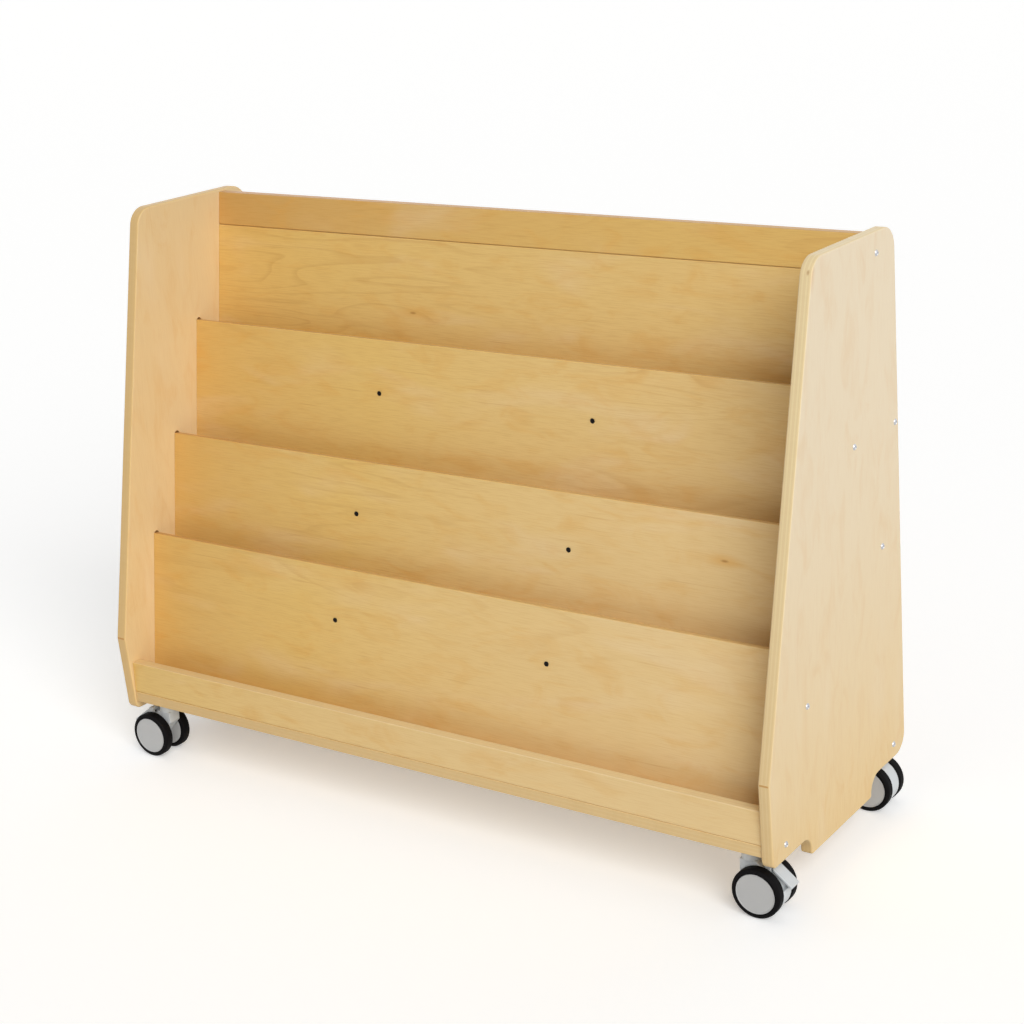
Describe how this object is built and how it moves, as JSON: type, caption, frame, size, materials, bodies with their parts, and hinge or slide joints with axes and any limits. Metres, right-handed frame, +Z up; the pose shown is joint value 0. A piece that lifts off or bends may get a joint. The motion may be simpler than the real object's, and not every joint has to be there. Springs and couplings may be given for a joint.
{
  "type": "book display shelf",
  "caption": "Plywood book display shelf on twin-wheel casters: leaning face-out display tiers with a front lip, kneed side panels and open shelves behind.",
  "frame": {"origin": "on the floor, at the middle of the width and of the depth", "axes": "+Z up, +X along the width to the right of someone facing the display side, +Y to the rear"},
  "size_m": [1.2304, 0.4554, 0.9063],
  "materials": {
    "birch_plywood": "clear satin lacquer on birch veneer",
    "zinc_steel": "zinc plated",
    "grey_nylon": "moulded, fine satin",
    "grey_hub": "moulded, satin",
    "black_rubber": "moulded, dull"
  },
  "bodies": {
    "carcass": {"side_left": "birch_plywood", "side_right": "birch_plywood", "base_board": "birch_plywood", "front_lip": "birch_plywood", "display_panel_1": "birch_plywood", "display_panel_2": "birch_plywood", "display_panel_3": "birch_plywood", "display_panel_4": "birch_plywood", "top_rail": "birch_plywood", "slot_ledge": "birch_plywood", "middle_shelf": "birch_plywood", "upper_shelf": "birch_plywood", "screw_side_left_base_front": "zinc_steel", "screw_side_left_base_rear": "zinc_steel", "screw_side_left_ledge": "zinc_steel", "screw_side_left_middle_shelf": "zinc_steel", "screw_side_left_upper_shelf_front": "zinc_steel", "screw_side_left_upper_shelf_rear": "zinc_steel", "screw_side_left_rail": "zinc_steel", "screw_side_right_base_front": "zinc_steel", "screw_side_right_base_rear": "zinc_steel", "screw_side_right_ledge": "zinc_steel", "screw_side_right_middle_shelf": "zinc_steel", "screw_side_right_upper_shelf_front": "zinc_steel", "screw_side_right_upper_shelf_rear": "zinc_steel", "screw_side_right_rail": "zinc_steel", "caster_front_left_stem": "zinc_steel", "caster_front_right_stem": "zinc_steel", "caster_rear_left_stem": "zinc_steel", "caster_rear_right_stem": "zinc_steel"},
    "caster_front_left_swivel": {"caster_front_left_housing": "grey_nylon", "caster_front_left_axle": "zinc_steel", "caster_front_left_pedal_pin": "zinc_steel"},
    "caster_front_left_wheel_1": {"caster_front_left_hub_1": "grey_hub", "caster_front_left_tyre_1": "black_rubber"},
    "caster_front_left_wheel_2": {"caster_front_left_hub_2": "grey_hub", "caster_front_left_tyre_2": "black_rubber"},
    "caster_front_left_pedal": {"caster_front_left_brake_pedal": "grey_nylon"},
    "caster_front_right_swivel": {"caster_front_right_housing": "grey_nylon", "caster_front_right_axle": "zinc_steel", "caster_front_right_pedal_pin": "zinc_steel"},
    "caster_front_right_wheel_1": {"caster_front_right_hub_1": "grey_hub", "caster_front_right_tyre_1": "black_rubber"},
    "caster_front_right_wheel_2": {"caster_front_right_hub_2": "grey_hub", "caster_front_right_tyre_2": "black_rubber"},
    "caster_front_right_pedal": {"caster_front_right_brake_pedal": "grey_nylon"},
    "caster_rear_left_swivel": {"caster_rear_left_housing": "grey_nylon", "caster_rear_left_axle": "zinc_steel"},
    "caster_rear_left_wheel_1": {"caster_rear_left_hub_1": "grey_hub", "caster_rear_left_tyre_1": "black_rubber"},
    "caster_rear_left_wheel_2": {"caster_rear_left_hub_2": "grey_hub", "caster_rear_left_tyre_2": "black_rubber"},
    "caster_rear_right_swivel": {"caster_rear_right_housing": "grey_nylon", "caster_rear_right_axle": "zinc_steel"},
    "caster_rear_right_wheel_1": {"caster_rear_right_hub_1": "grey_hub", "caster_rear_right_tyre_1": "black_rubber"},
    "caster_rear_right_wheel_2": {"caster_rear_right_hub_2": "grey_hub", "caster_rear_right_tyre_2": "black_rubber"}
  },
  "joints": [
    {"name": "caster_front_left_swivel_turn", "type": "hinge", "parent": "carcass", "child": "caster_front_left_swivel", "pos_m": [-0.547, -0.18072, 0], "axis": [0, 0, 1], "continuous": true},
    {"name": "caster_front_left_wheel_1_spin", "type": "hinge", "parent": "caster_front_left_swivel", "child": "caster_front_left_wheel_1", "pos_m": [-0.567, -0.18072, 0.0375], "axis": [0, 1, 0], "continuous": true},
    {"name": "caster_front_left_wheel_2_spin", "type": "hinge", "parent": "caster_front_left_swivel", "child": "caster_front_left_wheel_2", "pos_m": [-0.567, -0.18072, 0.0375], "axis": [0, 1, 0], "continuous": true},
    {"name": "caster_front_left_pedal_press", "type": "hinge", "parent": "caster_front_left_swivel", "child": "caster_front_left_pedal", "pos_m": [-0.57703, -0.18072, 0.07601], "axis": [0, -1, 0], "range_deg": [0, 12]},
    {"name": "caster_front_right_swivel_turn", "type": "hinge", "parent": "carcass", "child": "caster_front_right_swivel", "pos_m": [0.547, -0.18072, 0], "axis": [0, 0, 1], "continuous": true},
    {"name": "caster_front_right_wheel_1_spin", "type": "hinge", "parent": "caster_front_right_swivel", "child": "caster_front_right_wheel_1", "pos_m": [0.567, -0.18072, 0.0375], "axis": [0, 1, 0], "continuous": true},
    {"name": "caster_front_right_wheel_2_spin", "type": "hinge", "parent": "caster_front_right_swivel", "child": "caster_front_right_wheel_2", "pos_m": [0.567, -0.18072, 0.0375], "axis": [0, 1, 0], "continuous": true},
    {"name": "caster_front_right_pedal_press", "type": "hinge", "parent": "caster_front_right_swivel", "child": "caster_front_right_pedal", "pos_m": [0.57703, -0.18072, 0.07601], "axis": [0, 1, 0], "range_deg": [0, 12]},
    {"name": "caster_rear_left_swivel_turn", "type": "hinge", "parent": "carcass", "child": "caster_rear_left_swivel", "pos_m": [-0.547, 0.18974, 0], "axis": [0, 0, 1], "continuous": true},
    {"name": "caster_rear_left_wheel_1_spin", "type": "hinge", "parent": "caster_rear_left_swivel", "child": "caster_rear_left_wheel_1", "pos_m": [-0.567, 0.18974, 0.0375], "axis": [0, 1, 0], "continuous": true},
    {"name": "caster_rear_left_wheel_2_spin", "type": "hinge", "parent": "caster_rear_left_swivel", "child": "caster_rear_left_wheel_2", "pos_m": [-0.567, 0.18974, 0.0375], "axis": [0, 1, 0], "continuous": true},
    {"name": "caster_rear_right_swivel_turn", "type": "hinge", "parent": "carcass", "child": "caster_rear_right_swivel", "pos_m": [0.547, 0.18974, 0], "axis": [0, 0, 1], "continuous": true},
    {"name": "caster_rear_right_wheel_1_spin", "type": "hinge", "parent": "caster_rear_right_swivel", "child": "caster_rear_right_wheel_1", "pos_m": [0.567, 0.18974, 0.0375], "axis": [0, 1, 0], "continuous": true},
    {"name": "caster_rear_right_wheel_2_spin", "type": "hinge", "parent": "caster_rear_right_swivel", "child": "caster_rear_right_wheel_2", "pos_m": [0.567, 0.18974, 0.0375], "axis": [0, 1, 0], "continuous": true}
  ]
}
